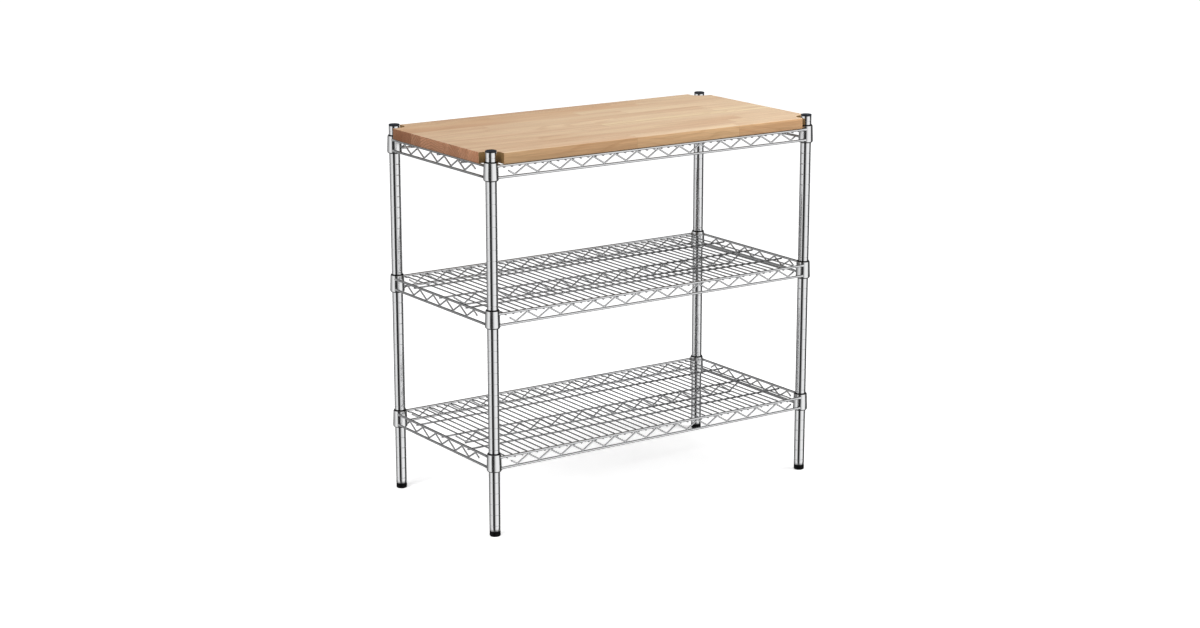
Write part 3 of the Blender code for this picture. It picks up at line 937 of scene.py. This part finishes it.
def mark_staves(work):
    """Writes what the wood material reads: each face's stave and notch, and each corner's glue lines.

    A stave is three numbers: its tone, its end grain's lightness, and a chance. The first is from STAVES.
    """
    chance = random.Random(7)
    seeds = {}
    for i, (tones, _) in enumerate(STAVES):
        for k, tone in enumerate(tones):
            seeds[i, k] = (tone, chance.random() if k else LEFT_ENDS[i], chance.random())
    stave_layer = work.faces.layers.float_vector.new("stave")
    notch_layer = work.faces.layers.float.new("notch")
    edge_layer = work.loops.layers.float_color.new("edges")
    far = 1.0
    for face in work.faces:
        middle = face.calc_center_median()
        i = min(len(STAVES) - 1, max(0, row_at(face)))
        joints = STAVES[i][1]
        k = sum(1 for joint in joints if joint < middle.x)
        face[stave_layer] = seeds[i, k]
        in_notch = abs(middle.x) > AXIS_X - NOTCH - 0.001 and abs(middle.y) > AXIS_Y - NOTCH - 0.001
        on_rim = max(abs(middle.x) - BOARD_HIGH.x, abs(middle.y) - BOARD_HIGH.y) > -0.0008
        upright = abs(face.normal.z) < 0.3
        # the notch mask marks the faces that the wood material paints dark brown as shade
        face[notch_layer] = 1.0 if in_notch and upright and not on_rim else 0.0
        left = joints[k - 1] if k else -far
        right = joints[k] if k < len(joints) else far
        front = BOARD_LOW.y + ROW_WIDTH * i if i else -far
        back = BOARD_LOW.y + ROW_WIDTH * (i + 1) if i < len(STAVES) - 1 else far
        for loop in face.loops:
            x, y, _ = loop.vert.co
            loop[edge_layer] = (x - left, right - x, y - front, back - y)


def build_board():
    """One board, cut into faces along its glue lines so that each stave can differ."""
    work = bmesh.new()
    board_block(work)
    cut_staves(work)
    mark_staves(work)
    finished(work, "butcher_block", "top_board", [WOOD], ["wood_top"], 30)


build_posts()
build_sleeves()
build_shelves()
build_board()


# ---------------------------------------------------------------- studio

CAMERA_YAW = 0.59906
CAMERA_PITCH = 0.24369
BACKDROP_RADIUS = 55
REFLECTIONS_RADIUS = 50


def add_camera():
    """A long lens about 34 degrees round to the left and 14 degrees above."""
    camera = bpy.data.cameras.new("camera")
    camera.lens = 70.65
    camera.sensor_width = 36
    camera.clip_start = 0.05
    camera.clip_end = 200
    placed = bpy.data.objects.new("camera", camera)
    placed.location = (-3.0821, -4.5025, 1.7663)
    placed.rotation_euler = (math.pi / 2 - CAMERA_PITCH, 0, -CAMERA_YAW)
    bpy.context.scene.collection.objects.link(placed)
    bpy.context.scene.camera = placed


def height_share(tree, place, scale):
    """0.5 at the middle's height, rising with height by the scale."""
    height = node(tree, "ShaderNodeSeparateXYZ", {"Vector": place}).outputs["Z"]
    return maths(tree, "MULTIPLY_ADD", height, scale, 0.5)


def shell(name, radius, glow):
    """A wide sphere round the set whose material is the emission that glow(tree, place) makes."""
    mesh = bpy.data.meshes.new(name)
    work = bmesh.new()
    bmesh.ops.create_uvsphere(work, u_segments=64, v_segments=32, radius=radius)
    work.to_mesh(mesh)
    work.free()
    mesh.shade_smooth()
    made = bpy.data.materials.new(name)
    made.use_nodes = True
    tree = made.node_tree
    tree.nodes.clear()
    place = tree.nodes.new("ShaderNodeTexCoord").outputs["Object"]
    emission = node(tree, "ShaderNodeEmission", {"Color": glow(tree, place), "Strength": 1.0})
    out = tree.nodes.new("ShaderNodeOutputMaterial")
    tree.links.new(emission.outputs[0], out.inputs["Surface"])
    made.cycles.emission_sampling = "NONE"
    mesh.materials.append(made)
    placed = bpy.data.objects.new(name, mesh)
    placed.visible_diffuse = False
    placed.visible_shadow = False
    placed.visible_transmission = False
    placed.visible_volume_scatter = False
    bpy.context.scene.collection.objects.link(placed)
    return placed


def backdrop_glow(tree, place):
    return ramp(tree, height_share(tree, place, 0.01), [(0.5, 0.995), (1.0, 0.97)])


# Round the set, as a share of a full turn from directly behind the object: how bright each screen is
SCREENS = [
    (0.00, 0.04),
    (0.072, 0.04),
    (0.082, 0.50),
    (0.105, 0.50),
    (0.115, 0.04),
    (0.150, 0.04),
    (0.180, 0.34),
    (0.250, 0.60),
    (0.320, 0.95),
    (0.370, 0.95),
    (0.408, 0.03),
    (0.502, 0.03),
    (0.545, 0.68),
    (0.600, 1.00),
    (0.720, 1.00),
    (0.752, 0.05),
    (0.885, 0.05),
    (0.900, 0.70),
    (0.965, 0.70),
    (0.980, 0.04),
    (1.00, 0.04),
]


def studio_glow(tree, place):
    """What the chrome mirrors: screens with dark gaps between them, a lamp overhead and a dim floor."""
    turn = {"Vector": place, "Rotation": (0, 0, math.pi / 2 + CAMERA_YAW)}
    turned_place = node(tree, "ShaderNodeMapping", turn).outputs[0]
    round_set = node(tree, "ShaderNodeTexGradient", {"Vector": turned_place}, gradient_type="RADIAL")
    light = ramp(tree, round_set.outputs["Fac"], SCREENS)
    share = height_share(tree, place, 0.01)
    above = ramp(tree, share, [(0.75, 0.0), (0.83, 1.0)])
    light = blended(tree, above, light, (0.10, 0.10, 0.10, 1))
    overhead = ramp(tree, share, [(0.975, 0.0), (0.985, 1.0)])
    light = blended(tree, overhead, light, (1.0, 1.0, 1.0, 1))
    below = ramp(tree, share, [(0.06, 1.0), (0.20, 0.0)])
    return blended(tree, below, light, (0.08, 0.08, 0.08, 1))


def add_floor():
    """A wide pale floor with a little light of its own, so that it runs into the backdrop."""
    mesh = bpy.data.meshes.new("floor")
    work = bmesh.new()
    bmesh.ops.create_grid(work, x_segments=8, y_segments=8, size=60)
    work.to_mesh(mesh)
    work.free()
    made, tree, shader, place = new_material("floor")
    tone = blended(tree, noise(tree, place, 1.5, 2), (0.90, 0.90, 0.90, 1), (0.93, 0.93, 0.93, 1))
    tree.links.new(tone, shader.inputs["Base Color"])
    shader.inputs["Roughness"].default_value = 0.9
    shader.inputs["Specular IOR Level"].default_value = 0.0
    shader.inputs["Emission Color"].default_value = (1, 1, 1, 1)
    reach = vector_maths(tree, "LENGTH", place)["Value"]
    tree.links.new(spread(tree, reach, 0.45, 0.64, 1.5, 6.0), shader.inputs["Emission Strength"])
    mesh.materials.append(made)
    floor = bpy.data.objects.new("floor", mesh)
    floor.visible_glossy = False
    floor.visible_diffuse = False
    bpy.context.scene.collection.objects.link(floor)


def add_softbox(name, place, size, power):
    """A square lamp aimed at the middle of the wood top."""
    light = bpy.data.lights.new(name, "AREA")
    light.size = size
    light.energy = power
    placed = bpy.data.objects.new(name, light)
    placed.location = place
    aim = Vector((0, 0, 0.87)) - Vector(place)
    placed.rotation_euler = aim.to_track_quat("-Z", "Y").to_euler()
    placed.visible_glossy = False
    bpy.context.scene.collection.objects.link(placed)


def add_world():
    """Soft light from all round, a little more from above."""
    world = bpy.data.worlds.new("studio")
    world.use_nodes = True
    tree = world.node_tree
    place = tree.nodes.new("ShaderNodeTexCoord").outputs["Generated"]
    share = height_share(tree, place, 0.5)
    tone = ramp(tree, share, [(0.35, (0.28, 0.275, 0.27)), (0.65, (0.40, 0.40, 0.405))])
    tree.links.new(tone, tree.nodes["Background"].inputs["Color"])
    bpy.context.scene.world = world


add_camera()
add_floor()
shell("backdrop", BACKDROP_RADIUS, backdrop_glow).visible_glossy = False
shell("reflections", REFLECTIONS_RADIUS, studio_glow).visible_camera = False
add_world()
add_softbox("key", (1.65, -1.25, 2.27), size=1.2, power=38)
add_softbox("top", (-5.2, -1.9, 8.5), size=4.0, power=440)
bpy.context.scene.view_settings.view_transform = "Standard"
